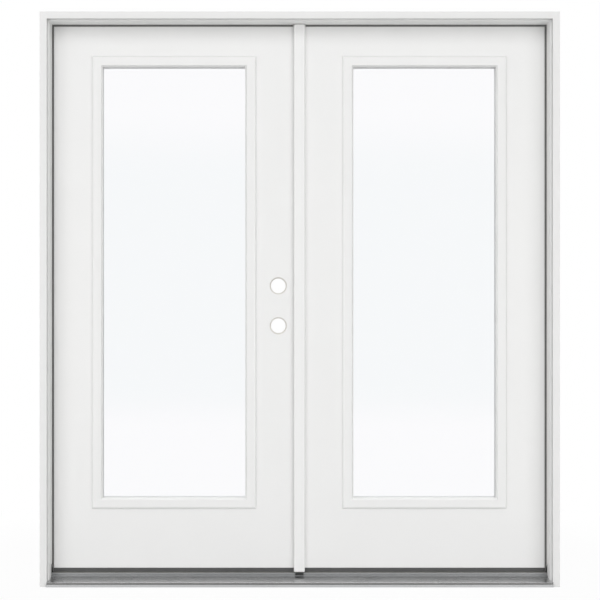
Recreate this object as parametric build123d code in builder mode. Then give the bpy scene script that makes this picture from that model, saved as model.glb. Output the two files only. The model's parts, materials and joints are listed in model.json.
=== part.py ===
"""Double inswing patio doors in their frame, closed, in millimetres.

X runs along the unit, Y from outdoors into the room and Z up. The origin is the middle of
the sill's underside. The left leaf carries the lock and opens first, and the right leaf
carries the astragal that covers the joint.
"""

from build123d import *
import os

# Leaves
leaf_width = 909.3
leaf_height = 1998.5
leaf_thickness = 44.45
skin_thickness = 2.0
skin_easing = 0.8
stile_width = 38.0
top_rail_height = 38.0
bottom_rail_height = 57.0

# Gaps round the leaves, the slip fit between pieces and the run of cuts past their pieces
hinge_gap = 3.0
head_gap = 3.2
meeting_gap = 13.7
seal_gap = 6.35
slip = 0.3
overrun = 1.0

# Jambs, head and casing
jamb_depth = 115.9
jamb_thickness = 31.75
rabbet_thickness = 19.05
casing_width = 25.4
casing_depth = 25.4
casing_easing = 1.5
kerf_width = 3.0
kerf_depth = 9.0
kerf_inset = 4.0

# Weatherstrip
bulb_reach = 6.4
bulb_rounding = 2.8
barb_slack = 0.2

# Sill
cap_top = 39.5
dam_top = 40.0
dam_web = 3.0
dam_setback = 83.0
rib_reach = 2.2
lower_rib_height = 3.0
rib_spacing = 3.2
nose_reach = 6.0
nose_lap = 3.0
nose_top = 16.6
nose_rounding = 0.9
foot_top = 9.9
foot_groove = 8.0
deck_rise = 11.4
deck_wall = 2.0
substrate_top = 24.0
cap_rounding = 4.0

# Sweep under each leaf
sweep_space = 16.2
sweep_clearance = 0.8
sweep_base = 2.5
fin_thickness = 1.6
fin_count = 5
sweep_barb_width = 2.4
sweep_barb_height = 8.0
sweep_barb_spacing = 20.0

# Foam pads on the sill
pad_height = 30.0
centre_pad_width = 30.0
centre_pad_thickness = 6.0

# Glass and its frame
lite_side_margin = 154.0
lite_offset = 3.2
lite_top_margin = 126.4
lite_bottom_margin = 217.0
lite_band = 40.15
lite_proud = 10.0
lite_shoulder = 8.0
lite_bevel_width = 6.5
lite_bevel_depth = 10.0
lite_lap = 13.0
lite_wall = 3.0
lite_leg = 4.0
lite_clearance = 1.0
pane_bite = 18.15
pane_thickness = 3.175
spacer_depth = 12.7
spacer_width = 7.0
sealant_inset = 3.0
post_width = 7.0
post_rows = 4
post_end_inset = 142.4

# Lock
backset = 69.85
knob_height = 885.6
lock_spacing = 146.4
cross_bore_radius = 26.99
cross_bore_easing = 3.5
skin_bore_radius = 31.65
edge_bore_radius = 12.7
faceplate_width = 25.4
faceplate_height = 57.15
faceplate_depth = 3.2
lock_block_width = 100.0
lock_block_height = 356.0

# Astragal and its seal
astragal_width = 40.0
astragal_proud = 17.85
astragal_rounding = 4.0
astragal_corner = 5.0
astragal_bottom = 41.6
astragal_head_clearance = 2.1
astragal_swing_room = 3.5
astragal_kerf = 6.0
astragal_seal_setback = 1.5
stem_thickness = 9.2

# Bolts in the astragal's stem and the strikes that take them
bolt_radius = 3.175
bolt_clearance = 0.3
bolt_length = 180.0
bolt_travel = 15.0
bolt_recess = 0.5
thumb_width = 4.4
thumb_height = 20.0
bolt_hole_radius = 4.0
strike_thickness = 1.6
bolt_strike_length = 60.0
bolt_strike_width = 20.0
lock_strike_height = 70.0
lock_strike_width = 28.6
lock_strike_slot_height = 28.0
lock_strike_slot_width = 14.0
lock_strike_pocket = 16.0

# Hinges
plate_height = 101.6
plate_width = 32.0
plate_thickness = 2.2
knuckles = 3
knuckle_gap = 0.3
barrel_radius = 6.2
tab_bite = 2.2
pin_radius = 3.0
pin_clearance = 0.05
pin_offset = 7.0
pin_head_radius = 4.8
pin_head_height = 2.4
top_hinge_drop = 228.6
bottom_hinge_rise = 330.0

# Places across the unit
half_width = meeting_gap / 2 + leaf_width + hinge_gap + rabbet_thickness
rabbet_x = half_width - rabbet_thickness
stop_x = half_width - jamb_thickness
casing_x = half_width - casing_width
leaf_edge = meeting_gap / 2 + leaf_width
leaf_middle = meeting_gap / 2 + leaf_width / 2
rail_length = leaf_width - 2 * stile_width

# Places through the wall
back = (casing_depth + jamb_depth) / 2
front = -back
jamb_front = front + casing_depth
leaf_front = back - leaf_thickness
leaf_centre = back - leaf_thickness / 2
core_depth = leaf_thickness - 2 * skin_thickness
stop_back = leaf_front - seal_gap

# Heights of the leaves, the head and the hinges
leaf_bottom = cap_top + sweep_space
leaf_top = leaf_bottom + leaf_height
leaf_mid_height = (leaf_bottom + leaf_top) / 2
height = leaf_top + head_gap + rabbet_thickness
head_rabbet = height - rabbet_thickness
head_stop = height - jamb_thickness
top_hinge = leaf_top - top_hinge_drop
bottom_hinge = leaf_bottom + bottom_hinge_rise
hinge_heights = (bottom_hinge, (bottom_hinge + top_hinge) / 2, top_hinge)
hinge_x = leaf_edge + hinge_gap / 2
pin_y = back + pin_offset

# The glass opening, and how far the frame's leg and the leaf's cut-out lie outside it
lite_width = leaf_width - 2 * lite_side_margin
lite_height = leaf_height - lite_top_margin - lite_bottom_margin
lite_centre = leaf_bottom + lite_bottom_margin + lite_height / 2
opening_width = lite_width - 2 * lite_band
opening_height = lite_height - 2 * lite_band
leg_reach = lite_band - lite_lap
cutout_reach = leg_reach + lite_clearance
glass_half_depth = spacer_depth / 2 + pane_thickness

# Lock bores and the astragal
knob_z = leaf_bottom + knob_height
lock_heights = (knob_z, knob_z + lock_spacing)
bore_x = meeting_gap / 2 + backset
lock_block_x = meeting_gap / 2 + stile_width
stem_right = meeting_gap / 2
stem_left = stem_right - stem_thickness
stem_middle = (stem_left + stem_right) / 2
cap_front = leaf_front - astragal_proud
astragal_top = head_stop - astragal_head_clearance
seal_middle = (stem_left - astragal_width / 2) / 2

os.makedirs("parts", exist_ok=True)


def hinge_plates(x, tab_knuckles=()):
    """Square hinge plates on the edge plane x, with tabs that reach their own knuckles."""
    knuckle_height = plate_height / knuckles
    tab_reach = pin_offset - barrel_radius + tab_bite
    with BuildSketch(Plane.YZ.offset(x)) as outline:
        for z in hinge_heights:
            with Locations((back, z)):
                Rectangle(plate_width, plate_height, align=(Align.MAX, Align.CENTER))
            for number in tab_knuckles:
                tab_z = z - plate_height / 2 + (number + 0.5) * knuckle_height
                with Locations((back - slip, tab_z)):
                    Rectangle(
                        tab_reach + slip,
                        knuckle_height - knuckle_gap,
                        align=(Align.MIN, Align.CENTER),
                    )
    return outline.sketch


def hinge_halves(side, edge_x, outward, numbers):
    """Plates on one edge, with their numbered knuckles, added to the active part."""
    knuckle_height = plate_height / knuckles
    extrude(hinge_plates(edge_x, numbers), amount=outward * plate_thickness)
    for z in hinge_heights:
        for number in numbers:
            knuckle_z = z - plate_height / 2 + (number + 0.5) * knuckle_height
            with Locations((side * hinge_x, pin_y, knuckle_z)):
                Cylinder(barrel_radius, knuckle_height - knuckle_gap)


# Frame legs. On each leg's plane, local X is the depth in from the outer face and local Y
# is the unit's Y, so the three legs share their sections and meet on the corner mitres.

side_planes = {
    "left": Plane(origin=(-half_width, 0, 0), x_dir=(1, 0, 0), z_dir=(0, 0, 1)),
    "right": Plane(origin=(half_width, 0, 0), x_dir=(-1, 0, 0), z_dir=(0, 0, -1)),
}
head_plane = Plane(origin=(0, 0, height), x_dir=(0, 0, -1), z_dir=(1, 0, 0))
mitres = {
    "left": Plane(origin=(-half_width, 0, height), z_dir=(-1, 0, -1)),
    "right": Plane(origin=(half_width, 0, height), z_dir=(1, 0, -1)),
}
side_sign = {"left": -1, "right": 1}


def jamb_section(plane):
    """Rabbeted jamb with the kerf that grips the weatherstrip."""
    with BuildSketch(plane) as section:
        with BuildLine():
            Polyline(
                (0, jamb_front),
                (0, back),
                (rabbet_thickness, back),
                (rabbet_thickness, stop_back),
                (jamb_thickness, stop_back),
                (jamb_thickness, jamb_front),
                close=True,
            )
        make_face()
        with Locations((rabbet_thickness + kerf_inset, stop_back)):
            Rectangle(kerf_width, kerf_depth, align=(Align.CENTER, Align.MAX), mode=Mode.SUBTRACT)
    return section.sketch


def casing_section(plane):
    """Square casing strip with its two front edges eased."""
    with BuildSketch(plane) as section:
        with Locations((0, front)):
            Rectangle(casing_width, casing_depth, align=(Align.MIN, Align.MIN))
        fillet(section.vertices().group_by(Axis.Y)[0], casing_easing)
    return section.sketch


def seal_section(plane):
    """Weatherstrip squeezed between stop and leaf, with its barb in the kerf."""
    bulb_width = jamb_thickness + bulb_reach - rabbet_thickness - slip
    with BuildSketch(plane) as section:
        with Locations((rabbet_thickness + slip, stop_back)):
            Rectangle(bulb_width, seal_gap - slip, align=(Align.MIN, Align.MIN))
        fillet(section.vertices().group_by(Axis.X)[-1], bulb_rounding)
        with Locations((rabbet_thickness + kerf_inset, stop_back)):
            Rectangle(
                kerf_width - 2 * barb_slack,
                kerf_depth - barb_slack,
                align=(Align.CENTER, Align.MAX),
            )
    return section.sketch


for name, side in side_sign.items():
    up = -side
    with BuildPart() as jamb:
        extrude(jamb_section(side_planes[name]), amount=up * height)
        split(bisect_by=mitres[name], keep=Keep.TOP)
        extrude(hinge_plates(side * rabbet_x), amount=side * plate_thickness, mode=Mode.SUBTRACT)
    jamb.part.label = f"{name}_jamb"
    export_step(jamb.part, f"parts/{name}_jamb.step")

    with BuildPart() as casing:
        extrude(casing_section(side_planes[name]), amount=up * height)
        split(bisect_by=mitres[name], keep=Keep.TOP)
        with Locations((side * (casing_x - slip), 0, 0)):
            Box(
                nose_lap + 2 * slip,
                2 * (back + nose_reach),
                nose_top + slip,
                align=(Align.CENTER, Align.CENTER, Align.MIN),
                mode=Mode.SUBTRACT,
            )
    casing.part.label = f"{name}_casing"
    export_step(casing.part, f"parts/{name}_casing.step")

    with BuildPart() as weatherstrip:
        extrude(seal_section(side_planes[name]), amount=up * height)
        split(bisect_by=mitres[name], keep=Keep.TOP)
        split(bisect_by=Plane.XY.offset(cap_top + pad_height), keep=Keep.TOP)
    weatherstrip.part.label = f"{name}_weatherstrip"
    export_step(weatherstrip.part, f"parts/{name}_weatherstrip.step")

with BuildPart() as head_jamb:
    extrude(jamb_section(head_plane), amount=half_width, both=True)
    split(bisect_by=mitres["left"], keep=Keep.BOTTOM)
    split(bisect_by=mitres["right"], keep=Keep.BOTTOM)
    with Locations((stem_middle, leaf_centre, head_rabbet)):
        Box(
            bolt_strike_length + slip,
            bolt_strike_width + slip,
            strike_thickness,
            align=(Align.CENTER, Align.CENTER, Align.MIN),
            mode=Mode.SUBTRACT,
        )
        Cylinder(
            bolt_hole_radius,
            bolt_travel,
            align=(Align.CENTER, Align.CENTER, Align.MIN),
            mode=Mode.SUBTRACT,
        )
head_jamb.part.label = "head_jamb"
export_step(head_jamb.part, "parts/head_jamb.step")

with BuildPart() as head_casing:
    extrude(casing_section(head_plane), amount=half_width, both=True)
    split(bisect_by=mitres["left"], keep=Keep.BOTTOM)
    split(bisect_by=mitres["right"], keep=Keep.BOTTOM)
head_casing.part.label = "head_casing"
export_step(head_casing.part, "parts/head_casing.step")

# The head seal stops short on each side of the astragal, which passes through it.
with BuildPart() as head_weatherstrip:
    extrude(seal_section(head_plane), amount=half_width, both=True)
    split(bisect_by=mitres["left"], keep=Keep.BOTTOM)
    split(bisect_by=mitres["right"], keep=Keep.BOTTOM)
    with Locations((0, leaf_centre, height)):
        Box(
            astragal_width + 2 * astragal_swing_room,
            2 * (leaf_thickness + seal_gap),
            4 * jamb_thickness,
            mode=Mode.SUBTRACT,
        )
head_weatherstrip.part.label = "head_weatherstrip"
export_step(head_weatherstrip.part, "parts/head_weatherstrip.step")

# Sill, extruded across the unit and coped round the casing and the jamb stops.

dam_front = front + dam_setback
dam_back = dam_front + dam_web
nose_front = front - nose_reach
deck_back = dam_front - rib_reach
deck_back_height = nose_top + deck_rise
web_front = dam_front + rib_reach / 2
rib_top = deck_back_height + lower_rib_height
groove_top = rib_top + rib_spacing
slope = (deck_back_height - nose_top) / (dam_front - nose_front)
groove_back = nose_front + foot_groove
leg_back = groove_back + deck_wall
under_nose = nose_top + slope * foot_groove - deck_wall
under_leg = nose_top + slope * (leg_back - nose_front) - deck_wall
under_dam = nose_top + slope * (dam_back - nose_front) - deck_wall
deck_end = nose_top + slope * (deck_back - nose_front)


def end_copes():
    """Takes the casing, the jamb stop and the nose's end off both ends of the active part."""
    for side in (-1, 1):
        outside = side * (half_width + overrun)
        nose_end = side * (casing_x + nose_lap - slip)
        with BuildSketch(Plane.XY.offset(-overrun)) as cope:
            with BuildLine():
                Polyline(
                    (outside, nose_front - overrun),
                    (nose_end, nose_front - overrun),
                    (nose_end, front - slip),
                    (side * (casing_x - slip), front - slip),
                    (side * (casing_x - slip), jamb_front - slip),
                    (side * (stop_x - slip), jamb_front - slip),
                    (side * (stop_x - slip), stop_back + slip),
                    (side * (rabbet_x - slip), stop_back + slip),
                    (side * (rabbet_x - slip), back + overrun),
                    (outside, back + overrun),
                    close=True,
                )
            make_face()
        extrude(cope.sketch, amount=dam_top + 2 * overrun, mode=Mode.SUBTRACT)


with BuildPart() as sill_deck:
    with BuildSketch(Plane.YZ) as section:
        with BuildLine():
            Polyline(
                (nose_front, nose_top),
                (deck_back, deck_end),
                (deck_back, deck_end - deck_wall),
                (leg_back, under_leg),
                (leg_back, 0),
                (nose_front, 0),
                (nose_front, foot_top),
                (groove_back, foot_top),
                (groove_back, under_nose),
                (nose_front, under_nose),
                close=True,
            )
        make_face()
        fillet(section.vertices().sort_by_distance((nose_front, nose_top))[0], nose_rounding)
    extrude(amount=rabbet_x, both=True)
    end_copes()
sill_deck.part.label = "sill_deck"
export_step(sill_deck.part, "parts/sill_deck.step")

with BuildPart() as sill_dam:
    with BuildSketch(Plane.YZ):
        with BuildLine():
            Polyline(
                (deck_back, deck_end - deck_wall),
                (deck_back, rib_top),
                (web_front, rib_top),
                (web_front, groove_top),
                (deck_back, groove_top),
                (deck_back, dam_top),
                (dam_back, dam_top),
                (dam_back, under_dam),
                close=True,
            )
        make_face()
    extrude(amount=rabbet_x, both=True)
    end_copes()
sill_dam.part.label = "sill_dam"
export_step(sill_dam.part, "parts/sill_dam.step")

with BuildPart() as sill_substrate:
    with BuildSketch(Plane.YZ):
        with BuildLine():
            Polyline(
                (leg_back, 0),
                (leg_back, under_leg),
                (dam_back, under_dam),
                (dam_back, substrate_top),
                (back, substrate_top),
                (back, 0),
                close=True,
            )
        make_face()
    extrude(amount=rabbet_x, both=True)
    end_copes()
sill_substrate.part.label = "sill_substrate"
export_step(sill_substrate.part, "parts/sill_substrate.step")

with BuildPart() as sill_cap:
    with BuildSketch(Plane.YZ) as section:
        with Locations((dam_back, substrate_top)):
            Rectangle(back - dam_back, cap_top - substrate_top, align=(Align.MIN, Align.MIN))
        fillet(section.vertices().sort_by_distance((back, cap_top))[0], cap_rounding)
    extrude(amount=rabbet_x, both=True)
    end_copes()
    with Locations((stem_middle, leaf_centre, cap_top)):
        Box(
            bolt_strike_length + slip,
            bolt_strike_width + slip,
            2 * strike_thickness,
            mode=Mode.SUBTRACT,
        )
        Hole(bolt_hole_radius)
sill_cap.part.label = "sill_cap"
export_step(sill_cap.part, "parts/sill_cap.step")

# Closed cell pads, a wedge in each bottom corner behind the stop and one under the astragal.
with BuildPart() as foam_pads:
    for side in (-1, 1):
        with BuildSketch(Plane.XZ.offset(-stop_back)):
            with BuildLine():
                Polyline(
                    (side * (rabbet_x - slip), cap_top),
                    (side * (stop_x - bulb_reach), cap_top),
                    (side * stop_x, cap_top + pad_height),
                    (side * (rabbet_x - slip), cap_top + pad_height),
                    close=True,
                )
            make_face()
        extrude(amount=-(seal_gap - slip))
    with Locations((0, deck_back, rib_top)):
        Box(
            centre_pad_width,
            centre_pad_thickness,
            dam_top - rib_top,
            align=(Align.CENTER, Align.MAX, Align.MIN),
        )
foam_pads.part.label = "foam_pads"
export_step(foam_pads.part, "parts/foam_pads.step")

for name, strike_base, inward in (("head", head_rabbet, 1), ("sill", cap_top, -1)):
    with BuildPart() as strike:
        with BuildSketch(Plane.XY.offset(strike_base)):
            with Locations((stem_middle, leaf_centre)):
                Rectangle(bolt_strike_length, bolt_strike_width)
                Circle(bolt_hole_radius - slip, mode=Mode.SUBTRACT)
        extrude(amount=inward * strike_thickness)
    strike.part.label = f"{name}_strike"
    export_step(strike.part, f"parts/{name}_strike.step")

# Hinge halves on the jambs, in one with the pins that the leaves' knuckles turn on.
with BuildPart() as jamb_hinge_leaves:
    for side in (-1, 1):
        hinge_halves(side, side * rabbet_x, side, range(0, knuckles, 2))
        pin_length = plate_height - knuckle_gap
        with Locations(*[(side * hinge_x, pin_y, z) for z in hinge_heights]):
            Cylinder(pin_radius, pin_length)
        with Locations(*[(side * hinge_x, pin_y, z + pin_length / 2) for z in hinge_heights]):
            Cylinder(
                pin_head_radius,
                pin_head_height,
                align=(Align.CENTER, Align.CENTER, Align.MIN),
            )
jamb_hinge_leaves.part.label = "jamb_hinge_leaves"
export_step(jamb_hinge_leaves.part, "parts/jamb_hinge_leaves.step")

# The two leaves. Both are the same sandwich of skins round stiles, rails and foam, with
# glass held between two moulded half frames, and each piece is mirrored by its side's sign.

face_depth = leaf_thickness / 2 + lite_proud
leg_inside = leg_reach - lite_leg
post_inside = pane_bite + lite_clearance
post_depth = leg_inside + lite_leg / 2 - post_inside
post_middle = post_inside + post_depth / 2
post_pitch = (opening_height - 2 * post_end_inset) / (post_rows - 1)


def lite_profile(outward):
    """Section of one moulded half of the glass frame, across the bottom of the opening.

    Local X runs out of the leaf from its mid depth and local Y up, with the origin on the
    opening's edge.
    """
    hollow = face_depth - lite_wall
    seat = glass_half_depth
    start = (0, leaf_centre, lite_centre - opening_height / 2)
    with BuildSketch(Plane(origin=start, x_dir=(0, outward, 0), z_dir=(outward, 0, 0))) as profile:
        with BuildLine():
            Polyline(
                (seat, 0),
                (face_depth - lite_bevel_depth, 0),
                (face_depth, -lite_bevel_width),
                (face_depth, lite_shoulder - lite_band),
            )
            RadiusArc(
                (face_depth, lite_shoulder - lite_band),
                (face_depth - lite_shoulder, -lite_band),
                lite_shoulder,
            )
            Polyline(
                (face_depth - lite_shoulder, -lite_band),
                (leaf_thickness / 2, -lite_band),
                (leaf_thickness / 2, -leg_reach),
                (slip / 2, -leg_reach),
                (slip / 2, -leg_inside),
                (hollow, -leg_inside),
                (hollow, -lite_bevel_width - lite_wall / 2),
                (face_depth - lite_bevel_depth - lite_wall / 3, -lite_wall),
                (seat, -lite_wall),
                (seat, 0),
            )
        make_face()
    return profile.sketch


def lite_path():
    """Edge of the visible opening, from the middle of its bottom side and all round."""
    across = opening_width / 2
    low = lite_centre - opening_height / 2
    high = lite_centre + opening_height / 2
    with BuildLine() as path:
        Polyline(
            (0, leaf_centre, low),
            (across, leaf_centre, low),
            (across, leaf_centre, high),
            (-across, leaf_centre, high),
            (-across, leaf_centre, low),
            (0, leaf_centre, low),
        )
    return path.wire()


def rectangle_round_opening(reach, mode=Mode.ADD):
    """Rectangle that lies outside the glass opening by the given reach on every side."""
    Rectangle(opening_width + 2 * reach, opening_height + 2 * reach, mode=mode)


for leaf, side in (("active", -1), ("passive", 1)):
    middle = side * leaf_middle
    lite_middle = side * (leaf_middle - lite_offset)
    hinge_edge = side * leaf_edge
    meeting_edge = side * meeting_gap / 2
    lock_centres = [(side * bore_x, z) for z in lock_heights]

    for skin_name, face_y, inward in (("outer", leaf_front, 1), ("inner", back, -1)):
        with BuildPart() as leaf_skin:
            with BuildSketch(Plane.XZ.offset(-face_y)):
                with Locations((middle, leaf_mid_height)):
                    Rectangle(leaf_width, leaf_height)
                with Locations((lite_middle, lite_centre)):
                    rectangle_round_opening(cutout_reach, mode=Mode.SUBTRACT)
                if leaf == "active":
                    with Locations(*lock_centres):
                        Circle(skin_bore_radius, mode=Mode.SUBTRACT)
            extrude(amount=-inward * skin_thickness)
            show_face = leaf_skin.faces().filter_by(Axis.Y).sort_by(Axis.Y)
            show_face = show_face[0] if inward == 1 else show_face[-1]
            chamfer(show_face.outer_wire().edges(), skin_easing)
            if skin_name == "inner":
                extrude(hinge_plates(hinge_edge), amount=-side * plate_thickness, mode=Mode.SUBTRACT)
        leaf_skin.part.label = f"{leaf}_{skin_name}_skin"
        export_step(leaf_skin.part, f"parts/{leaf}_{skin_name}_skin.step")

    # Stiles and rails between the skins
    with BuildPart() as hinge_stile:
        with Locations((hinge_edge - side * stile_width / 2, leaf_centre, leaf_mid_height)):
            Box(stile_width, core_depth, leaf_height)
        extrude(hinge_plates(hinge_edge), amount=-side * plate_thickness, mode=Mode.SUBTRACT)
    hinge_stile.part.label = f"{leaf}_hinge_stile"
    export_step(hinge_stile.part, f"parts/{leaf}_hinge_stile.step")

    stile_name = "lock_stile" if leaf == "active" else "meeting_stile"
    with BuildPart() as meeting_stile:
        with Locations((meeting_edge + side * stile_width / 2, leaf_centre, leaf_mid_height)):
            Box(stile_width, core_depth, leaf_height)
        with BuildSketch(Plane.YZ.offset(meeting_edge)):
            with Locations(*[(leaf_centre, z) for z in lock_heights]):
                if leaf == "active":
                    Rectangle(faceplate_width, faceplate_height)
                else:
                    Rectangle(lock_strike_slot_width, lock_strike_slot_height)
        pocket = faceplate_depth if leaf == "active" else lock_strike_pocket
        extrude(amount=side * pocket, mode=Mode.SUBTRACT)
        if leaf == "active":
            with BuildSketch(Plane.YZ.offset(meeting_edge)):
                with Locations(*[(leaf_centre, z) for z in lock_heights]):
                    Circle(edge_bore_radius)
            extrude(amount=side * stile_width, mode=Mode.SUBTRACT)
    meeting_stile.part.label = f"{leaf}_{stile_name}"
    export_step(meeting_stile.part, f"parts/{leaf}_{stile_name}.step")

    with BuildPart() as top_rail:
        with Locations((middle, leaf_centre, leaf_top - top_rail_height / 2)):
            Box(rail_length, core_depth, top_rail_height)
    top_rail.part.label = f"{leaf}_top_rail"
    export_step(top_rail.part, f"parts/{leaf}_top_rail.step")

    barb_places = [
        (leaf_centre - sweep_barb_spacing / 2, leaf_bottom),
        (leaf_centre + sweep_barb_spacing / 2, leaf_bottom),
    ]
    with BuildPart() as bottom_rail:
        with BuildSketch(Plane.YZ.offset(middle)):
            with Locations((leaf_centre, leaf_bottom)):
                Rectangle(core_depth, bottom_rail_height, align=(Align.CENTER, Align.MIN))
            with Locations(*barb_places):
                Rectangle(
                    sweep_barb_width + 2 * barb_slack,
                    sweep_barb_height + barb_slack,
                    align=(Align.CENTER, Align.MIN),
                    mode=Mode.SUBTRACT,
                )
        extrude(amount=rail_length / 2, both=True)
    bottom_rail.part.label = f"{leaf}_bottom_rail"
    export_step(bottom_rail.part, f"parts/{leaf}_bottom_rail.step")

    with BuildPart() as sweep_strip:
        fin_height = sweep_space - sweep_base - sweep_clearance
        fin_pitch = (core_depth - fin_thickness) / (fin_count - 1)
        with BuildSketch(Plane.YZ.offset(middle)):
            with Locations((leaf_centre, leaf_bottom)):
                Rectangle(core_depth, sweep_base, align=(Align.CENTER, Align.MAX))
            with Locations((leaf_centre, leaf_bottom - sweep_base - fin_height / 2)):
                with GridLocations(fin_pitch, 1, fin_count, 1):
                    Rectangle(fin_thickness, fin_height)
        extrude(amount=leaf_width / 2, both=True)
        with BuildSketch(Plane.YZ.offset(middle)):
            with Locations(*barb_places):
                Rectangle(sweep_barb_width, sweep_barb_height, align=(Align.CENTER, Align.MIN))
        extrude(amount=rail_length / 2 - slip, both=True)
    sweep_strip.part.label = f"{leaf}_sweep"
    export_step(sweep_strip.part, f"parts/{leaf}_sweep.step")

    # Foam, and the block that backs the lock bores
    block_middle = side * (lock_block_x + lock_block_width / 2)
    block_mid_height = sum(lock_heights) / 2
    core_plane = Plane.XZ.offset(-leaf_centre)
    with BuildPart() as foam_core:
        foam_low = leaf_bottom + bottom_rail_height
        foam_high = leaf_top - top_rail_height
        with BuildSketch(core_plane):
            with Locations((middle, (foam_low + foam_high) / 2)):
                Rectangle(rail_length, foam_high - foam_low)
            with Locations((lite_middle, lite_centre)):
                rectangle_round_opening(cutout_reach, mode=Mode.SUBTRACT)
            if leaf == "active":
                with Locations((block_middle, block_mid_height)):
                    Rectangle(lock_block_width, lock_block_height, mode=Mode.SUBTRACT)
        extrude(amount=core_depth / 2, both=True)
    foam_core.part.label = f"{leaf}_foam_core"
    export_step(foam_core.part, f"parts/{leaf}_foam_core.step")

    if leaf == "active":
        with BuildPart() as lock_block:
            with BuildSketch(core_plane):
                with Locations((block_middle, block_mid_height)):
                    Rectangle(lock_block_width, lock_block_height)
                with Locations(*lock_centres):
                    Circle(cross_bore_radius, mode=Mode.SUBTRACT)
            extrude(amount=core_depth / 2, both=True)
            rims = lock_block.edges().filter_by(GeomType.CIRCLE)
            chamfer(rims, cross_bore_easing)
            with BuildSketch(Plane.YZ.offset(side * lock_block_x)):
                with Locations(*[(leaf_centre, z) for z in lock_heights]):
                    Circle(edge_bore_radius)
            extrude(amount=side * (bore_x - lock_block_x), mode=Mode.SUBTRACT)
        lock_block.part.label = "active_lock_block"
        export_step(lock_block.part, "parts/active_lock_block.step")

    # Glass and the two moulded halves that clamp it, with posts inside
    for half, outward in (("outer", -1), ("inner", 1)):
        with BuildPart() as lite_frame:
            sweep(
                Pos(lite_middle, 0, 0) * lite_profile(outward),
                path=Pos(lite_middle, 0, 0) * lite_path(),
                transition=Transition.RIGHT,
            )
            with BuildSketch(Plane.XZ.offset(-leaf_centre - outward * slip / 2)):
                with Locations((lite_middle, lite_centre)):
                    with GridLocations(opening_width + 2 * post_middle, post_pitch, 2, post_rows):
                        Rectangle(post_depth, post_width)
                    with GridLocations(opening_width / 2, opening_height + 2 * post_middle, 2, 2):
                        Rectangle(post_width, post_depth)
            extrude(amount=-outward * (face_depth - lite_wall / 2 - slip / 2))
        lite_frame.part.label = f"{leaf}_{half}_lite_frame"
        export_step(lite_frame.part, f"parts/{leaf}_{half}_lite_frame.step")

        with BuildPart() as pane:
            with BuildSketch(Plane.XZ.offset(-leaf_centre - outward * spacer_depth / 2)):
                with Locations((lite_middle, lite_centre)):
                    rectangle_round_opening(pane_bite)
            extrude(amount=-outward * pane_thickness)
        pane.part.label = f"{leaf}_{half}_pane"
        export_step(pane.part, f"parts/{leaf}_{half}_pane.step")

    with BuildPart() as spacer:
        spacer_reach = pane_bite - sealant_inset
        with BuildSketch(core_plane):
            with Locations((lite_middle, lite_centre)):
                rectangle_round_opening(spacer_reach)
                rectangle_round_opening(spacer_reach - spacer_width, mode=Mode.SUBTRACT)
        extrude(amount=spacer_depth / 2, both=True)
    spacer.part.label = f"{leaf}_spacer"
    export_step(spacer.part, f"parts/{leaf}_spacer.step")

    # Hinge halves on the leaf, bored to turn on the pins
    with BuildPart() as leaf_hinges:
        hinge_halves(side, hinge_edge, -side, range(1, knuckles, 2))
        with Locations(*[(side * hinge_x, pin_y, z) for z in hinge_heights]):
            Cylinder(pin_radius + pin_clearance, plate_height, mode=Mode.SUBTRACT)
    leaf_hinges.part.label = f"{leaf}_hinge_leaves"
    export_step(leaf_hinges.part, f"parts/{leaf}_hinge_leaves.step")

# Astragal on the right leaf's meeting edge: a face strip on a stem with a bolt at each end.

cap_height = astragal_top - astragal_bottom
with BuildPart() as astragal_cap:
    with BuildSketch(Plane.XZ.offset(-cap_front)) as face:
        with Locations((0, (astragal_bottom + astragal_top) / 2)):
            Rectangle(astragal_width, cap_height)
        fillet(face.vertices(), astragal_corner)
    extrude(amount=-(stop_back - cap_front))
    front_edges = astragal_cap.faces().sort_by(Axis.Y)[0].edges()
    fillet(front_edges, astragal_rounding)
    with BuildSketch(Plane.XY.offset(astragal_bottom)):
        with Locations((stem_left, stop_back)):
            Rectangle(
                astragal_width / 2 - stem_left,
                leaf_front - stop_back,
                align=(Align.MIN, Align.MIN),
            )
    extrude(amount=cap_height)
    with Locations((seal_middle, stop_back, astragal_bottom)):
        Box(
            kerf_width,
            2 * astragal_kerf,
            cap_height,
            align=(Align.CENTER, Align.CENTER, Align.MIN),
            mode=Mode.SUBTRACT,
        )
astragal_cap.part.label = "astragal_cap"
export_step(astragal_cap.part, "parts/astragal_cap.step")

with BuildPart() as astragal_stem:
    with BuildSketch(Plane.XY.offset(astragal_bottom)):
        with Locations((stem_left, leaf_front)):
            Rectangle(stem_thickness, leaf_thickness, align=(Align.MIN, Align.MIN))
    extrude(amount=leaf_top - astragal_bottom)
    # Strike recesses with their pockets
    with Locations(*[(stem_left, leaf_centre, z) for z in lock_heights]):
        Box(
            2 * strike_thickness,
            lock_strike_width + slip,
            lock_strike_height + slip,
            mode=Mode.SUBTRACT,
        )
        Box(
            2 * (stem_thickness + slip),
            lock_strike_slot_width,
            lock_strike_slot_height,
            mode=Mode.SUBTRACT,
        )
    # Bolt bores with a slot for each thumb piece
    for end, away in ((leaf_top, -1), (astragal_bottom, 1)):
        bore_depth = bolt_length + bolt_recess + slip
        with Locations((stem_middle, leaf_centre, end + away * bore_depth / 2)):
            Cylinder(bolt_radius + bolt_clearance, bore_depth, mode=Mode.SUBTRACT)
        slot_height = thumb_height + bolt_travel + 2 * slip
        slot_z = end + away * (bore_depth - slip / 2 - slot_height / 2)
        with Locations((stem_left, leaf_centre, slot_z)):
            Box(
                stem_thickness,
                thumb_width + 2 * slip,
                slot_height,
                mode=Mode.SUBTRACT,
            )
astragal_stem.part.label = "astragal_stem"
export_step(astragal_stem.part, "parts/astragal_stem.step")

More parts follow.
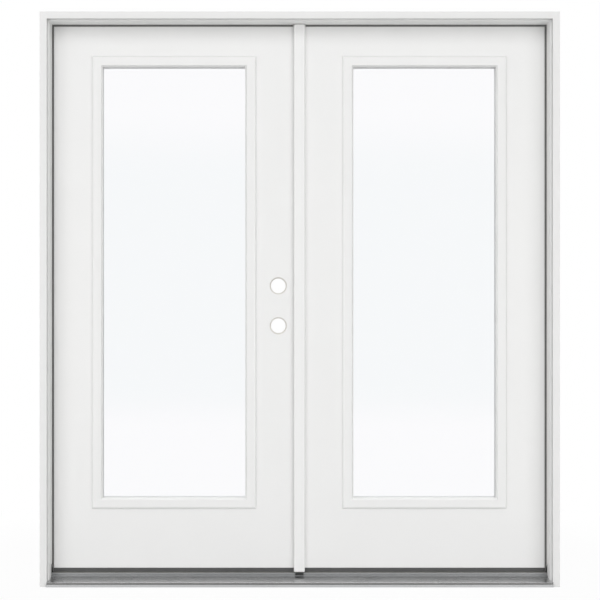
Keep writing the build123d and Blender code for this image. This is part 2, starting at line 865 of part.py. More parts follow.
with BuildPart() as astragal_seal:
    with BuildSketch(Plane.XY.offset(astragal_bottom)) as section:
        with Locations((stem_left - slip, stop_back)):
            Rectangle(
                stem_left - slip + astragal_width / 2 - astragal_seal_setback,
                seal_gap - slip,
                align=(Align.MAX, Align.MIN),
            )
        fillet(section.vertices().group_by(Axis.X)[0], bulb_rounding)
        with Locations((seal_middle, stop_back)):
            Rectangle(
                kerf_width - 2 * barb_slack,
                astragal_kerf - barb_slack,
                align=(Align.CENTER, Align.MAX),
            )
    extrude(amount=cap_height)
astragal_seal.part.label = "astragal_seal"
export_step(astragal_seal.part, "parts/astragal_seal.step")

with BuildPart() as lock_strikes:
    with BuildSketch(Plane.YZ.offset(stem_left)):
        with Locations(*[(leaf_centre, z) for z in lock_heights]):
            Rectangle(lock_strike_width, lock_strike_height)
            Rectangle(
                lock_strike_slot_width - slip,
                lock_strike_slot_height - slip,
                mode=Mode.SUBTRACT,
            )
    extrude(amount=strike_thickness)
lock_strikes.part.label = "lock_strikes"
export_step(lock_strikes.part, "parts/lock_strikes.step")

for name, end, away in (("top", leaf_top, -1), ("bottom", astragal_bottom, 1)):
    with BuildPart() as bolt:
        tip = end + away * bolt_recess
        thumb_z = tip + away * (bolt_length - thumb_height / 2)
        with Locations((stem_middle, leaf_centre, tip + away * bolt_length / 2)):
            Cylinder(bolt_radius, bolt_length)
        with Locations((stem_left + slip, leaf_centre, thumb_z)):
            Box(
                stem_middle - stem_left - slip,
                thumb_width,
                thumb_height,
                align=(Align.MIN, Align.CENTER, Align.CENTER),
            )
        tip_face = bolt.faces().filter_by(Axis.Z).sort_by(Axis.Z)
        tip_face = tip_face[0] if away == 1 else tip_face[-1]
        chamfer(tip_face.edges(), bolt_recess)
    bolt.part.label = f"{name}_bolt"
    export_step(bolt.part, f"parts/{name}_bolt.step")
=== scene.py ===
"""Looks of the double patio doors: finishes, screw heads, plugs, seal bulbs, lights and camera."""

import json
from math import cos, pi, sin

import bpy
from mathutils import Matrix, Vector
from mathutils.geometry import tessellate_polygon


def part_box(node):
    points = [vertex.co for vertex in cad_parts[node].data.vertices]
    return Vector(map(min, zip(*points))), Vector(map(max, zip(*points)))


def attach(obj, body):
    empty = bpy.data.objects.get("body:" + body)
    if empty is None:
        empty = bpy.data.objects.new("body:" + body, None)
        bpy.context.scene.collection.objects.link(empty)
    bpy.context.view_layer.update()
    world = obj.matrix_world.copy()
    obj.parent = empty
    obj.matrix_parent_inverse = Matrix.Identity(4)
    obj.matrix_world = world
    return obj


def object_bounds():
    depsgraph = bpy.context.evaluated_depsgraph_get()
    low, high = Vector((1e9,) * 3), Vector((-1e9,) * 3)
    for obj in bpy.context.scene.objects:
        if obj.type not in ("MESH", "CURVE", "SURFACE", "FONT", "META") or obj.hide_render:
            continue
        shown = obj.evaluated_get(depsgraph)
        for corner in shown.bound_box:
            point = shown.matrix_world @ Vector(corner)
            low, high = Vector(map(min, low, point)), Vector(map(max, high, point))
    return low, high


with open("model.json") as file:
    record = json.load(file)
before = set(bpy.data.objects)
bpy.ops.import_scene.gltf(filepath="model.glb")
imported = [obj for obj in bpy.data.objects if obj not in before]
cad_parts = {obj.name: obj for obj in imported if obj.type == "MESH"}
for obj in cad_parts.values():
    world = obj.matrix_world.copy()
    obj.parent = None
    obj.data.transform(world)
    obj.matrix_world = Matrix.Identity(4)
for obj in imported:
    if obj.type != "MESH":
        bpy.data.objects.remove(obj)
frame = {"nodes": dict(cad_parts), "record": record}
cad_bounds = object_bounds()
nodes = frame["nodes"]

MM = 0.001
WHITE = (1.0, 1.0, 1.0)
BLACK = (0.0, 0.0, 0.0)
SIDES = ((-1, "left"), (1, "right"))


# Shader expressions


class Wire:
    """One output of a node. Arithmetic on wires adds Math nodes."""

    def __init__(self, shading, socket):
        self.shading = shading
        self.socket = socket

    def _math(self, operation, *values):
        return self.shading.node("Math", {"operation": operation}, dict(enumerate(values)))

    def __add__(self, other):
        return self._math("ADD", self, other)

    __radd__ = __add__

    def __sub__(self, other):
        return self._math("SUBTRACT", self, other)

    def __rsub__(self, other):
        return self._math("SUBTRACT", other, self)

    def __mul__(self, other):
        return self._math("MULTIPLY", self, other)

    __rmul__ = __mul__

    def __pow__(self, other):
        return self._math("POWER", self, other)

    def __rpow__(self, other):
        return self._math("POWER", other, self)

    def __gt__(self, other):
        return self._math("GREATER_THAN", self, other)

    def __lt__(self, other):
        return self._math("LESS_THAN", self, other)

    def largest(self, other):
        return self._math("MAXIMUM", self, other)

    def distance(self):
        return self._math("ABSOLUTE", self)

    def ramp(self, low, high):
        """Smooth step from 0 at low to 1 at high."""
        return self.shading.node(
            "MapRange",
            {"interpolation_type": "SMOOTHSTEP"},
            {"Value": self, "From Min": low, "From Max": high},
        )


def mingle(first, second, share):
    """Two patterns as one: the first by its share and the second by the rest."""
    return first * share + second * (1.0 - share)


def swing(pattern, middle, width):
    """A pattern from 0 to 1, brought to swing round a middle value."""
    return pattern * width + (middle - width / 2)


class Shading:
    """Nodes of one material or of the studio's world."""

    def __init__(self, tree, output):
        self.tree = tree
        self.output = tree.nodes[output]

    def feed(self, socket, value):
        """Joins a wire to a socket, or sets its plain value."""
        if isinstance(value, Wire):
            self.tree.links.new(value.socket, socket)
        elif hasattr(socket.default_value, "__len__") and isinstance(value, (tuple, list)):
            wanted = len(socket.default_value)
            socket.default_value = tuple(value) + (1.0,) * (wanted - len(value))
        else:
            socket.default_value = value

    def node(self, kind, settings=None, sockets=None, out=0):
        """Adds a node: its settings first, then the values or wires of its sockets."""
        made = self.tree.nodes.new("ShaderNode" + kind)
        for name, value in (settings or {}).items():
            if name == "stops":
                for index, (place, color) in enumerate(value):
                    if index < 2:
                        stop = made.color_ramp.elements[index]
                        stop.position = place
                    else:
                        stop = made.color_ramp.elements.new(place)
                    stop.color = tuple(color) + (1.0,)
            else:
                setattr(made, name, value)
        for name, value in (sockets or {}).items():
            self.feed(made.inputs[name], value)
        return Wire(self, made.outputs[out])

    def surface(self, shown):
        """Shows a shader on the surface."""
        self.feed(self.output.inputs["Surface"], shown)

    def viewing_ray(self):
        """1 for a ray that the camera sees straight, through glass or mirrored."""
        straight = self.node("LightPath", out="Is Camera Ray")
        through_glass = self.node("LightPath", out="Is Transmission Ray")
        mirrored = self.node("LightPath", out="Is Glossy Ray")
        return straight.largest(through_glass).largest(mirrored)


class Finish(Shading):
    """A material, built from its principled shader outward."""

    def __init__(self, name, color, roughness, metallic=0.0, plain=None):
        self.material = bpy.data.materials.new(name)
        self.material.use_nodes = True
        super().__init__(self.material.node_tree, "Material Output")
        self.shader = self.tree.nodes["Principled BSDF"]
        self.body = Wire(self, self.shader.outputs["BSDF"])
        self.feed(self.shader.inputs["Metallic"], metallic)
        for socket, value in (plain or {}).items():
            self.feed(self.shader.inputs[socket], value)
        self.color(color)
        self.roughness(roughness)

    def color(self, value):
        self.feed(self.shader.inputs["Base Color"], value)

    def roughness(self, value):
        self.feed(self.shader.inputs["Roughness"], value)

    def bump(self, height, depth):
        """Fine relief, with its depth in metres."""
        relief = self.node("Bump", {}, {"Height": height, "Distance": depth, "Strength": 1.0})
        self.feed(self.shader.inputs["Normal"], relief)

    def place(self, stretch=(1.0, 1.0, 1.0)):
        """Object coordinates in metres, stretched per axis."""
        spot = self.node("TexCoord", out="Object")
        return self.node("VectorMath", {"operation": "MULTIPLY"}, {0: spot, 1: stretch})

    def axes(self):
        """Object coordinates in metres, one wire for each axis."""
        parted = self.node("SeparateXYZ", {}, {0: self.place()}).socket.node
        return [Wire(self, parted.outputs[axis]) for axis in "XYZ"]

    def noise(self, scale, detail=2.0, stretch=(1.0, 1.0, 1.0), rough=0.5):
        return self.node(
            "TexNoise",
            {},
            {"Vector": self.place(stretch), "Scale": scale, "Detail": detail, "Roughness": rough},
        )

    def blend(self, amount, first, second):
        """Colour between two colours."""
        sockets = {"Factor": amount, 6: first, 7: second}
        return self.node("Mix", {"data_type": "RGBA"}, sockets, out=2)


def tone(value, tint=WHITE):
    return tuple(min(1.0, value * part) for part in tint)


# Primer and moulded plastic

WARM_WHITE = (1.0, 0.998, 0.99)
MOTTLE = 0.012
MOTTLE_SCALE = 6.0
SHEEN_SCALE = 38.0
SHEEN_SWING = 0.10


def painted(name, value, roughness, peel_size, peel_depth):
    """White primer or plastic: a faint mottle, a sheen that varies and a fine orange peel."""
    finish = Finish(name, tone(value, WARM_WHITE), roughness)
    dark = tone(value * (1.0 - MOTTLE), WARM_WHITE)
    light = tone(value * (1.0 + MOTTLE), WARM_WHITE)
    finish.coat = finish.blend(finish.noise(MOTTLE_SCALE, 3.0), dark, light)
    finish.color(finish.coat)
    finish.roughness(swing(finish.noise(SHEEN_SCALE), roughness, SHEEN_SWING))
    finish.bump(finish.noise(1.0 / peel_size), peel_depth)
    return finish


casing_paint = painted("casing_primer", 0.81, 0.46, 1.6 * MM, 0.05 * MM)
jamb_paint = painted("jamb_primer", 0.85, 0.46, 1.6 * MM, 0.05 * MM)
skin_paint = painted("leaf_skin", 0.86, 0.42, 2.6 * MM, 0.06 * MM)
astragal_paint = painted("astragal_wrap", 0.87, 0.38, 2.0 * MM, 0.04 * MM)
lite_plastic = painted("moulded_glass_frame", 0.86, 0.34, 1.2 * MM, 0.025 * MM)

CASING_INNER_X = 913.1 * MM
CASING_INNER_Z = 2051.4 * MM
CASING_INNER_SHADE = (0.60, 0.60, 0.595)


def shade_casing_inner_sides(finish):
    """Painted shade: the casing's inner sides are drawn greyer, because they face across the
    opening and catch little light.
    """
    across, _, rise = finish.axes()
    shaded_inner_side = (across.distance() < CASING_INNER_X) * (rise < CASING_INNER_Z)
    # Painted shade: the inner sides get a grey base colour in place of the primer's.
    finish.color(finish.blend(shaded_inner_side, finish.coat, CASING_INNER_SHADE))


shade_casing_inner_sides(casing_paint)


# Glass

GLASS_TINT = (0.981, 0.981, 0.988)
GLASS_SHADE = (0.97, 0.98, 0.98)
GLASS_INDEX = 1.5


def clear_glass():
    """Float glass with a faint cool cast, clear to the light that falls through it."""
    clear_body = {"Transmission Weight": 1.0, "IOR": GLASS_INDEX}
    finish = Finish("float_glass", GLASS_TINT, 0.0, plain=clear_body)
    clear = finish.node("BsdfTransparent", {}, {"Color": GLASS_SHADE})
    falls_through = finish.node("LightPath", out="Is Shadow Ray")
    finish.surface(finish.node("MixShader", {}, {0: falls_through, 1: finish.body, 2: clear}))
    return finish


glass = clear_glass()


# Aluminium, nickel and steel

COOL = (1.0, 1.0, 1.01)
WARM_NICKEL = (1.0, 0.985, 0.95)
WARM_ZINC = (1.0, 0.99, 0.95)
DRAWN_STRETCH = 0.012
METAL_CLOUD_SCALE = 9.0
LINES_SHARE = 0.7
METAL_SWING = 0.20


def drawn_metal(name, value, tint, roughness, along, line_size, depth, spread=0.06):
    """Metal with fine lines along one axis, as drawn, brushed or extruded."""
    stretch = [1.0, 1.0, 1.0]
    stretch["XYZ".index(along)] = DRAWN_STRETCH
    finish = Finish(name, tone(value, tint), roughness, metallic=1.0)
    lines = finish.noise(1.0 / line_size, 4.0, stretch, 0.7)
    worked = mingle(lines, finish.noise(METAL_CLOUD_SCALE, 3.0), LINES_SHARE)
    dark = tone(value * (1.0 - spread), tint)
    light = tone(value * (1.0 + spread), tint)
    finish.drawn = finish.blend(worked, dark, light)
    finish.color(finish.drawn)
    finish.roughness(swing(worked, roughness, METAL_SWING))
    finish.bump(lines, depth)
    return finish


mill_aluminium = drawn_metal(
    "mill_aluminium", 0.50, COOL, 0.28, "X", 0.9 * MM, 0.012 * MM, spread=0.10
)
# Painted shade: the dam gets a darker, rougher copy of the sill's aluminium, drawn dark because it
# sits back behind the deck and is lit less.
shaded_dam_aluminium = drawn_metal(
    "dam_aluminium_painted_shade", 0.28, COOL, 0.45, "X", 0.9 * MM, 0.02 * MM, spread=0.08
)
spacer_aluminium = drawn_metal("spacer_aluminium", 0.60, COOL, 0.34, "Z", 0.6 * MM, 0.01 * MM)
hinge_nickel = drawn_metal(
    "satin_nickel_hinge", 0.58, WARM_NICKEL, 0.33, "Z", 0.35 * MM, 0.01 * MM
)
strike_nickel = drawn_metal(
    "satin_nickel_strike", 0.60, WARM_NICKEL, 0.34, "Z", 0.35 * MM, 0.01 * MM
)
bolt_steel = drawn_metal("bolt_steel", 0.55, WHITE, 0.30, "Z", 0.3 * MM, 0.008 * MM)
screw_zinc = drawn_metal("zinc_screw", 0.62, WARM_ZINC, 0.36, "Z", 0.8 * MM, 0.01 * MM)

NOSE_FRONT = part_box("sill_deck")[0].y
NOSE_LIP = 2.0 * MM
GROOVE_TOP = 15.2 * MM
GROOVE_SHADE = (0.20, 0.195, 0.19)


def shade_sill_groove(finish):
    """Painted shade: darkens the metal inside the groove under the sill's nose, where the nose
    shades it.
    """
    _, depth, rise = finish.axes()
    groove = (depth > NOSE_FRONT + NOSE_LIP) * (rise < GROOVE_TOP)
    # Painted shade: the groove's metal is drawn dark in place of its drawn lines.
    finish.color(finish.blend(groove, finish.drawn, GROOVE_SHADE))


shade_sill_groove(mill_aluminium)


# Vinyl and foam

SLEEVE_TINT = (1.0, 0.98, 0.95)
DUST_SCALE = 24.0
WORN_DARK = 0.85
DUSTY_LIGHT = 1.2
GRAIN_SWING = 0.16


def soft_rubber(name, value, roughness, pore_size, pore_depth, tint=WHITE):
    """Vinyl or foam with a fine grain and a worn, dusty cast."""
    finish = Finish(name, tone(value, tint), roughness)
    dust = finish.noise(DUST_SCALE, 4.0)
    dark = tone(value * WORN_DARK, tint)
    light = tone(value * DUSTY_LIGHT, tint)
    finish.worn = finish.blend(dust, dark, light)
    finish.color(finish.worn)
    grain = finish.noise(1.0 / pore_size, 3.0)
    finish.roughness(swing(grain, roughness, GRAIN_SWING))
    finish.bump(grain, pore_depth)
    return finish


def dark_sleeve(name):
    """Sleeve over the weatherstrip's foam."""
    return soft_rubber(name, 0.10, 0.55, 1.2 * MM, 0.05 * MM, SLEEVE_TINT)


seal_sleeve = dark_sleeve("seal_sleeve")
bulb_sleeve = dark_sleeve("bulb_sleeve")
sweep_vinyl = soft_rubber("sweep_vinyl", 0.075, 0.50, 1.0 * MM, 0.04 * MM)
pad_foam = soft_rubber("pad_foam", 0.025, 0.85, 1.4 * MM, 0.18 * MM)

CARRIER_X = 904.4 * MM
CARRIER_Z = 2042.65 * MM
CARRIER_WHITE = (0.74, 0.735, 0.725)


def pale_carrier(finish):
    """White carrier of the weatherstrip, from its root in the stop to where the bulb starts."""
    across, _, rise = finish.axes()
    carrier = (across.distance() > CARRIER_X).largest(rise > CARRIER_Z)
    finish.color(finish.blend(carrier, finish.worn, CARRIER_WHITE))


pale_carrier(seal_sleeve)


# Composites and core foam

FLECK_SIZE = 1.6 * MM
FLECK_DEPTH = 0.06 * MM
FLECKS_SHARE = 0.6
COMPOSITE_CLOUD_SCALE = 14.0
COMPOSITE_SWING = 0.12


def composite(name, color, roughness, fleck):
    """Moulded composite with fine flecks through it."""
    finish = Finish(name, color, roughness)
    flecks = finish.noise(1.0 / FLECK_SIZE, 4.0, rough=0.7)
    cloud = finish.noise(COMPOSITE_CLOUD_SCALE)
    dark = tone(1.0 - fleck, color)
    light = tone(1.0 + fleck, color)
    finish.color(finish.blend(mingle(flecks, cloud, FLECKS_SHARE), dark, light))
    finish.roughness(swing(cloud, roughness, COMPOSITE_SWING))
    finish.bump(flecks, FLECK_DEPTH)
    return finish


sill_composite = composite("sill_composite", (0.165, 0.155, 0.14), 0.6, 0.25)
cap_composite = composite("threshold_cap", (0.46, 0.44, 0.40), 0.5, 0.10)
lock_block_composite = composite("lock_block", (0.72, 0.70, 0.66), 0.55, 0.05)
core_foam = composite("core_foam", (0.80, 0.70, 0.44), 0.85, 0.12)


# Wood of the stiles and rails

PINE = (0.55, 0.38, 0.2)
EARLY_WOOD = (0.66, 0.47, 0.27)
MIDDLE_WOOD = (0.60, 0.41, 0.22)
LATE_WOOD = (0.42, 0.25, 0.12)
RING_SCALE = 60.0
RING_STRETCH = (1.0, 1.0, 0.03)
RINGS_SHARE = 0.65
FIBRE_SCALE = 1500.0
FIBRE_STRETCH = (1.0, 1.0, 0.02)
PLANED_ROUGHNESS = 0.52
FIBRE_SWING = 0.2
GRAIN_DEPTH = 0.08 * MM


def softwood():
    """Planed pine with its growth rings drawn out along the grain."""
    finish = Finish("planed_pine", PINE, 0.5)
    rings = finish.node(
        "TexWave",
        {"wave_type": "RINGS", "rings_direction": "Z", "wave_profile": "SAW"},
        {
            "Vector": finish.place(RING_STRETCH),
            "Scale": RING_SCALE,
            "Distortion": 5.0,
            "Detail": 3.0,
            "Detail Scale": 2.0,
        },
        out="Fac",
    )
    fibres = finish.noise(FIBRE_SCALE, 2.0, FIBRE_STRETCH)
    grain = mingle(rings, fibres, RINGS_SHARE)
    wood_tones = ((0.0, EARLY_WOOD), (1.0, LATE_WOOD), (0.6, MIDDLE_WOOD))
    finish.color(finish.node("ValToRGB", {"stops": wood_tones}, {"Fac": grain}))
    finish.roughness(swing(fibres, PLANED_ROUGHNESS, FIBRE_SWING))
    finish.bump(grain, GRAIN_DEPTH)
    return finish


pine = softwood()


# Finish of each slot in the record

finish_of_slot = {
    "casing": casing_paint,
    "jamb": jamb_paint,
    "skin": skin_paint,
    "lite_frame": lite_plastic,
    "glass": glass,
    "spacer": spacer_aluminium,
    "astragal": astragal_paint,
    "weatherstrip": seal_sleeve,
    "sweep": sweep_vinyl,
    "foam_pad": pad_foam,
    "sill_aluminium": mill_aluminium,
    "sill_dam": shaded_dam_aluminium,
    "sill_composite": sill_composite,
    "sill_cap": cap_composite,
    "hinge": hinge_nickel,
    "strike": strike_nickel,
    "bolt": bolt_steel,
    "bare_wood": pine,
    "lock_block": lock_block_composite,
    "foam": core_foam,
}


def dress(piece, finish):
    piece.data.materials.clear()
    piece.data.materials.append(finish.material)


for subpart in frame["record"]["subparts"]:
    dress(nodes[subpart["node"]], finish_of_slot[subpart["material_slot"]])


# Mesh makers

HEAD_SIDES = 24
SHOULDER_RADIUS = 0.94
SHOULDER_RISE = 0.55
CROWN_RADIUS = 0.72
CROSS_ARM = 0.52
CROSS_WIDTH = 0.3
CROSS_FLOOR_ARM = 0.86
CROSS_FLOOR_WIDTH = 0.26
PLUG_DOME = ((1.0, 0.0), (1.0, 0.5), (0.9, 0.88), (0.6, 1.0))
FIRST_SPIN = 0.35
SPIN_STEP = 1.3


def mesh_object(name, points, faces, finish):
    """A mesh in the frame's metres, with its finish."""
    mesh = bpy.data.meshes.new(name)
    mesh.from_pydata([tuple(point) for point in points], [], faces)
    mesh.validate()
    mesh.update()
    made = bpy.data.objects.new(name, mesh)
    bpy.context.scene.collection.objects.link(made)
    dress(made, finish)
    return made


def new_piece(name, points, faces, finish, body):
    """A piece of the doors, on its body and with its finish."""
    piece = mesh_object(name, points, faces, finish)
    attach(piece, body)


def circle(radius, height):
    turns = [2 * pi * i / HEAD_SIDES for i in range(HEAD_SIDES)]
    return [Vector((radius * cos(turn), radius * sin(turn), height)) for turn in turns]


def ring_walls(rings):
    """Faces that join stacked circles, each to the one above it."""
    faces = []
    for ring in range(rings - 1):
        low = ring * HEAD_SIDES
        high = low + HEAD_SIDES
        for i in range(HEAD_SIDES):
            j = (i + 1) % HEAD_SIDES
            faces.append((low + i, low + j, high + j, high + i))
    return faces


def cross_outline(arm, half_width, height):
    """Outline of a cross recess, anticlockwise from its right arm."""
    a, w = arm, half_width
    corners = (
        (a, -w), (a, w), (w, w), (w, a), (-w, a), (-w, w),
        (-a, w), (-a, -w), (-w, -w), (-w, -a), (w, -a), (w, -w),
    )
    return [Vector((x, y, height)) for x, y in corners]


def screw_head_form(radius, rise, recess):
    """Low oval head with a cross recess, seated on its plane at height 0."""
    rim = circle(radius, 0.0)
    shoulder = circle(radius * SHOULDER_RADIUS, rise * SHOULDER_RISE)
    crown = circle(radius * CROWN_RADIUS, rise)
    arm = radius * CROSS_ARM
    mouth = cross_outline(arm, arm * CROSS_WIDTH, rise)
    floor = cross_outline(arm * CROSS_FLOOR_ARM, arm * CROSS_FLOOR_WIDTH, rise - recess)
    points = rim + shoulder + crown + mouth + floor
    faces = ring_walls(3)
    crown_at = 2 * HEAD_SIDES
    mouth_at = 3 * HEAD_SIDES
    floor_at = mouth_at + len(mouth)
    for corners in tessellate_polygon([crown, mouth]):
        face = [crown_at + corner for corner in corners]
        side_one = points[face[1]] - points[face[0]]
        side_two = points[face[2]] - points[face[0]]
        if side_one.cross(side_two).z < 0:
            face.reverse()
        faces.append(tuple(face))
    for i in range(len(mouth)):
        j = (i + 1) % len(mouth)
        faces.append((mouth_at + i, mouth_at + j, floor_at + j, floor_at + i))
    faces.append(tuple(range(floor_at, floor_at + len(floor))))
    return points, faces


def plug_form(radius, rise):
    """Plain domed plug over a screw hole."""
    points = []
    for width, height in PLUG_DOME:
        points += circle(radius * width, rise * height)
    faces = ring_walls(len(PLUG_DOME))
    top = len(points)
    last = top - HEAD_SIDES
    points.append(Vector((0, 0, rise)))
    for i in range(HEAD_SIDES):
        faces.append((last + i, last + (i + 1) % HEAD_SIDES, top))
    return points, faces


def scattered(name, form, seats, direction, finish, body):
    """Copies of one form at each seat, turned to face one way, as a single piece."""
    turn = Vector(direction).to_track_quat("Z", "Y")
    form_points, form_faces = form
    points, faces = [], []
    for number, seat in enumerate(seats):
        start = len(points)
        spin = FIRST_SPIN + SPIN_STEP * number
        for point in form_points:
            x = point.x * cos(spin) - point.y * sin(spin)
            y = point.x * sin(spin) + point.y * cos(spin)
            points.append(turn @ Vector((x, y, point.z)) + Vector(seat))
        faces += [tuple(start + i for i in face) for face in form_faces]
    new_piece(name, points, faces, finish, body)


def screw_heads(name, form, seats, direction, body):
    """Zinc screw heads of one fitting."""
    scattered(f"{name}_screw_heads", form, seats, direction, screw_zinc, body)


# Screw heads on the hinges

HINGE_PLATE_HALF = 50.8 * MM
RABBET_THICKNESS = 19.05 * MM

# Rise of each screw from the plate's middle and its place from the room face, in millimetres
PLATE_SCREWS = ((-38.0, -23.0), (-13.0, -11.0), (13.0, -23.0), (38.0, -11.0))

hinge_low, hinge_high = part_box("active_hinge_leaves")
hinge_heights = (
    hinge_low.z + HINGE_PLATE_HALF,
    (hinge_low.z + hinge_high.z) / 2,
    hinge_high.z - HINGE_PLATE_HALF,
)
skin_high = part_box("passive_inner_skin")[1]
room_face = skin_high.y
leaf_edge = skin_high.x
jamb_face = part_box("right_jamb")[1].x - RABBET_THICKNESS
hinge_head = screw_head_form(4.0 * MM, 0.6 * MM, 0.5 * MM)

for side, door, jamb in ((-1, "active", "left"), (1, "passive", "right")):
    for owner, x, facing, body in (
        (door, leaf_edge, 1, f"{door}_door"),
        (jamb, jamb_face, -1, "frame"),
    ):
        seats = [
            (side * x, room_face + inset * MM, z + rise * MM)
            for z in hinge_heights
            for rise, inset in PLATE_SCREWS
        ]
        screw_heads(f"{owner}_hinge", hinge_head, seats, (side * facing, 0, 0), body)


# Screw heads on the threshold

THRESHOLD_SHARES = (-0.84, -0.33, 0.33, 0.84)
THRESHOLD_DEPTH = 43.0 * MM

cap_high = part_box("sill_cap")[1]
threshold_head = screw_head_form(4.2 * MM, 0.3 * MM, 0.25 * MM)
seats = [(share * cap_high.x, THRESHOLD_DEPTH, cap_high.z) for share in THRESHOLD_SHARES]
screw_heads("threshold", threshold_head, seats, (0, 0, 1), "frame")


# Screw heads on the astragal and on the strikes

STRIKE_HALF = 35.0 * MM
STRIKE_SCREW_REACH = 25.0 * MM
ASTRAGAL_SCREW_HEIGHTS = (311.7, 588.5, 1201.4, 1627.8, 1798.2)
BOLT_STRIKE_SCREW_REACH = 21.0 * MM

strikes_low, strikes_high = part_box("lock_strikes")
lock_mid = (strikes_low.y + strikes_high.y) / 2
strike_middles = (strikes_low.z + STRIKE_HALF, strikes_high.z - STRIKE_HALF)
small_head = screw_head_form(3.4 * MM, 0.45 * MM, 0.4 * MM)
for name, heights in (
    ("lock_strike", [z + s * STRIKE_SCREW_REACH for z in strike_middles for s in (-1, 1)]),
    ("astragal", [z * MM for z in ASTRAGAL_SCREW_HEIGHTS]),
):
    seats = [(strikes_low.x, lock_mid, z) for z in heights]
    screw_heads(name, small_head, seats, (-1, 0, 0), "passive_door")

flat_head = screw_head_form(3.0 * MM, 0.3 * MM, 0.25 * MM)
for name, facing in (("head_strike", -1), ("sill_strike", 1)):
    low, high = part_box(name)
    middle = (low + high) / 2
    face = low.z if facing < 0 else high.z
    seats = [(middle.x + s * BOLT_STRIKE_SCREW_REACH, middle.y, face) for s in (-1, 1)]
    screw_heads(name, flat_head, seats, (0, 0, facing), "frame")


# Screw heads on the outside of the jambs

CORNER_DROP = 9.5 * MM
CORNER_DEPTHS = (-30.0, 5.0, 55.0)
FOOT_HEIGHT = 10.0 * MM
FOOT_DEPTHS = (-25.0, 50.0)

head_jamb_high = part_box("head_jamb")[1]
frame_head = screw_head_form(4.6 * MM, 0.3 * MM, 0.25 * MM)
for side, word in SIDES:
    outside = side * head_jamb_high.x
    corner = [(outside, y * MM, head_jamb_high.z - CORNER_DROP) for y in CORNER_DEPTHS]
    foot = [(outside, y * MM, FOOT_HEIGHT) for y in FOOT_DEPTHS]
    screw_heads(f"{word}_frame", frame_head, corner + foot, (side, 0, 0), "frame")


# Plugs over the screws of the inner glass frames

GLASS_BAND = 40.15 * MM
POST_REACH = 22.15 * MM
ROW_MARGIN = 142.4 * MM
ROWS = 4

plug = plug_form(5.0 * MM, 0.7 * MM)
for door in ("active", "passive"):
    low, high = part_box(f"{door}_inner_lite_frame")
    middle = (low + high) / 2
    half_width = (high.x - low.x) / 2 - GLASS_BAND
    half_height = (high.z - low.z) / 2 - GLASS_BAND
    rows = [2 * (half_height - ROW_MARGIN) * (row / (ROWS - 1) - 0.5) for row in range(ROWS)]
    seats = [
        (middle.x + s * (half_width + POST_REACH), high.y, middle.z + row)
        for s in (-1, 1)
        for row in rows
    ]
    seats += [
        (middle.x + s * half_width / 2, high.y, middle.z + t * (half_height + POST_REACH))
        for s in (-1, 1)
        for t in (-1, 1)
    ]
    name = f"{door}_glass_frame_plugs"
    scattered(name, plug, seats, (0, 1, 0), lite_plastic, f"{door}_door")


# Bulbs of the weatherstrip, one down each side and along its half of the head

BULB_DEPTH = 5.6 * MM
BULB_OVER_DAM = 0.4 * MM
ASTRAGAL_ROOM = 23.7 * MM

# Reach of each corner from the strip's edge and its place from the bulb's front, in millimetres
BULB_SECTION = ((-2.4, 0.0), (1.5, 0.0), (2.3, 1.0), (2.3, 4.6), (1.5, 5.6), (-2.4, 5.6))


def seal_bulb(side, word):
    """Bulb with its corners eased towards the opening, from the dam up and over to the middle."""
    low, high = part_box(f"{word}_weatherstrip")
    side_edge = min(abs(low.x), abs(high.x))
    head_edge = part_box("head_weatherstrip")[0].z
    front = high.y - BULB_DEPTH
    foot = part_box("sill_dam")[1].z + BULB_OVER_DAM
    points, faces = [], []
    for reach, depth in BULB_SECTION:
        x = side * (side_edge - reach * MM)
        y = front + depth * MM
        z = head_edge - reach * MM
        points += [Vector((x, y, foot)), Vector((x, y, z)), Vector((side * ASTRAGAL_ROOM, y, z))]
    count = len(BULB_SECTION)
    for i in range(count):
        j = (i + 1) % count
        for leg in (0, 1):
            faces.append((3 * i + leg, 3 * j + leg, 3 * j + leg + 1, 3 * i + leg + 1))
    faces.append(tuple(3 * i for i in reversed(range(count))))
    faces.append(tuple(3 * i + 2 for i in range(count)))
    if side > 0:
        faces = [tuple(reversed(face)) for face in faces]
    new_piece(f"{word}_seal_bulb", points, faces, bulb_sleeve, "frame")


for side, word in SIDES:
    seal_bulb(side, word)


# World, floor and the card that the glass mirrors

AMBIENT = 0.54
ONE_FACE = [(0, 1, 2, 3)]
FLOOR_REACH = 14.0
FLOOR_GREY = (0.65, 0.65, 0.65)
NEAR_GLOW = 0.96
GLOW_RISES = (1.3, 2.6)
CARD_HALF_WIDTH = 2.4
CARD_HEIGHT = 2.7
CARD_PLACE = -7.6
CARD_TONE = (0.715, 0.827, 0.82)
CARD_FADES_IN = (0.0, 0.35)
CARD_FADES_OUT = (2.0, 2.55)


def studio_world():
    """Even light on the doors, and plain white behind them."""
    world = bpy.data.worlds.new("studio")
    bpy.context.scene.world = world
    world.use_nodes = True
    sky = Shading(world.node_tree, "World Output")
    sky.tree.nodes.remove(sky.tree.nodes["Background"])
    ambient = sky.node("Background", {}, {"Color": WHITE, "Strength": AMBIENT})
    white = sky.node("Background", {}, {"Color": WHITE, "Strength": 1.0})
    sky.surface(sky.node("MixShader", {}, {0: sky.viewing_ray(), 1: ambient, 2: white}))


def studio_floor():
    """Floor that keeps the doors' shadow close by and is plain white farther off."""
    finish = Finish("studio_white", FLOOR_GREY, 0.9, plain={"Specular IOR Level": 0.0})
    glow = finish.node("Emission", {}, {"Color": WHITE, "Strength": 1.0})
    across, along, _ = finish.axes()
    away = (across * across + along * along) ** 0.5
    plain_white = away.ramp(*GLOW_RISES) * (1.0 - NEAR_GLOW) + NEAR_GLOW
    amount = finish.viewing_ray() * plain_white
    finish.surface(finish.node("MixShader", {}, {0: amount, 1: finish.body, 2: glow}))
    r = FLOOR_REACH
    corners = ((-r, -r, 0), (r, -r, 0), (r, r, 0), (-r, r, 0))
    floor = mesh_object("studio_floor", corners, ONE_FACE, finish)


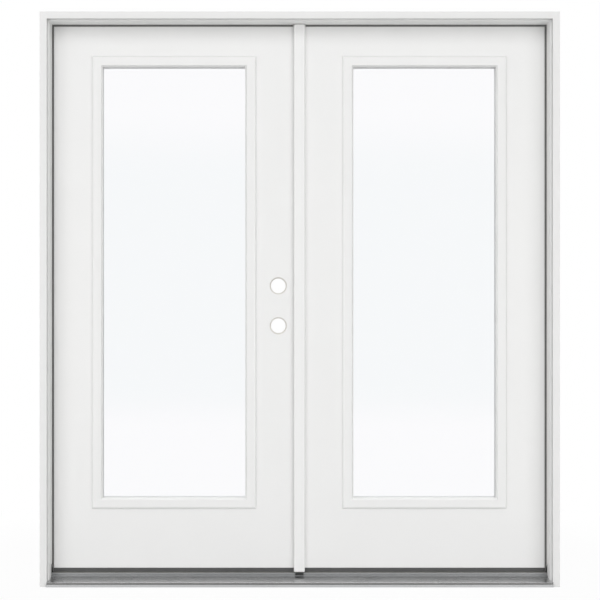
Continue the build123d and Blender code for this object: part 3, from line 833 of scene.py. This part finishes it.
def studio_card():
    """Pale blue-green card behind the camera. It fades low and high, and shows mirrored only."""
    card_light = {
        "Specular IOR Level": 0.0,
        "Emission Color": CARD_TONE,
        "Emission Strength": 1.0,
    }
    finish = Finish("studio_card", BLACK, 1.0, plain=card_light)
    _, _, rise = finish.axes()
    fade = rise.ramp(*CARD_FADES_IN) * (1.0 - rise.ramp(*CARD_FADES_OUT))
    mirrored = finish.node("LightPath", out="Glossy Depth") > 0.5
    finish.feed(finish.shader.inputs["Alpha"], fade * mirrored)
    w, y, h = CARD_HALF_WIDTH, CARD_PLACE, CARD_HEIGHT
    corners = ((-w, y, 0), (w, y, 0), (w, y, h), (-w, y, h))
    card = mesh_object("studio_card", corners, ONE_FACE, finish)


studio_world()
studio_floor()
studio_card()


# Lights


def soft_box(name, place, target, width, height, watts, spread=pi):
    lamp = bpy.data.lights.new(name, "AREA")
    lamp.spread = spread
    lamp.shape = "RECTANGLE"
    lamp.size = width
    lamp.size_y = height
    lamp.energy = watts
    holder = bpy.data.objects.new(name, lamp)
    holder.location = place
    aim = Vector(target) - Vector(place)
    holder.rotation_euler = aim.to_track_quat("-Z", "Y").to_euler()
    bpy.context.scene.collection.objects.link(holder)


soft_box(
    "front_key", place=(-0.4, -5.6, 5.2), target=(0, 0, 1.0), width=4.5, height=2.6, watts=115.0
)
for side, word in SIDES:
    soft_box(
        f"{word}_fill",
        place=(side * 3.3, -4.6, 0.7),
        target=(0, 0, 0.1),
        width=2.4,
        height=1.2,
        watts=36.0,
        spread=2.6,
    )
soft_box(
    "room_fill", place=(0.5, 5.0, 4.2), target=(0, 0, 1.0), width=4.0, height=2.5, watts=100.0
)


# Camera, square on to the doors and a little left of their middle

NOSE_PROUD = 6.0 * MM
CASING_FACE = cad_bounds[0][1] + NOSE_PROUD
DISTANCE = 6.55
ASIDE = -0.12
EYE_HEIGHT = 1.03825
FOCAL_PIXELS = 1815.9
VIEW_RIGHT_PIXELS = 0.22
VIEW_UP_PIXELS = -0.68
IMAGE = 600
SENSOR = 36.0

camera_data = bpy.data.cameras.new("camera")
camera_data.sensor_width = SENSOR
camera_data.lens = FOCAL_PIXELS * SENSOR / IMAGE
camera_data.shift_x = (VIEW_RIGHT_PIXELS - FOCAL_PIXELS * ASIDE / DISTANCE) / IMAGE
camera_data.shift_y = VIEW_UP_PIXELS / IMAGE
camera = bpy.data.objects.new("camera", camera_data)
camera.location = (ASIDE, CASING_FACE - DISTANCE, EYE_HEIGHT)
camera.rotation_euler = (pi / 2, 0.0, 0.0)
bpy.context.scene.collection.objects.link(camera)
bpy.context.scene.camera = camera
bpy.context.scene.view_settings.view_transform = "Standard"
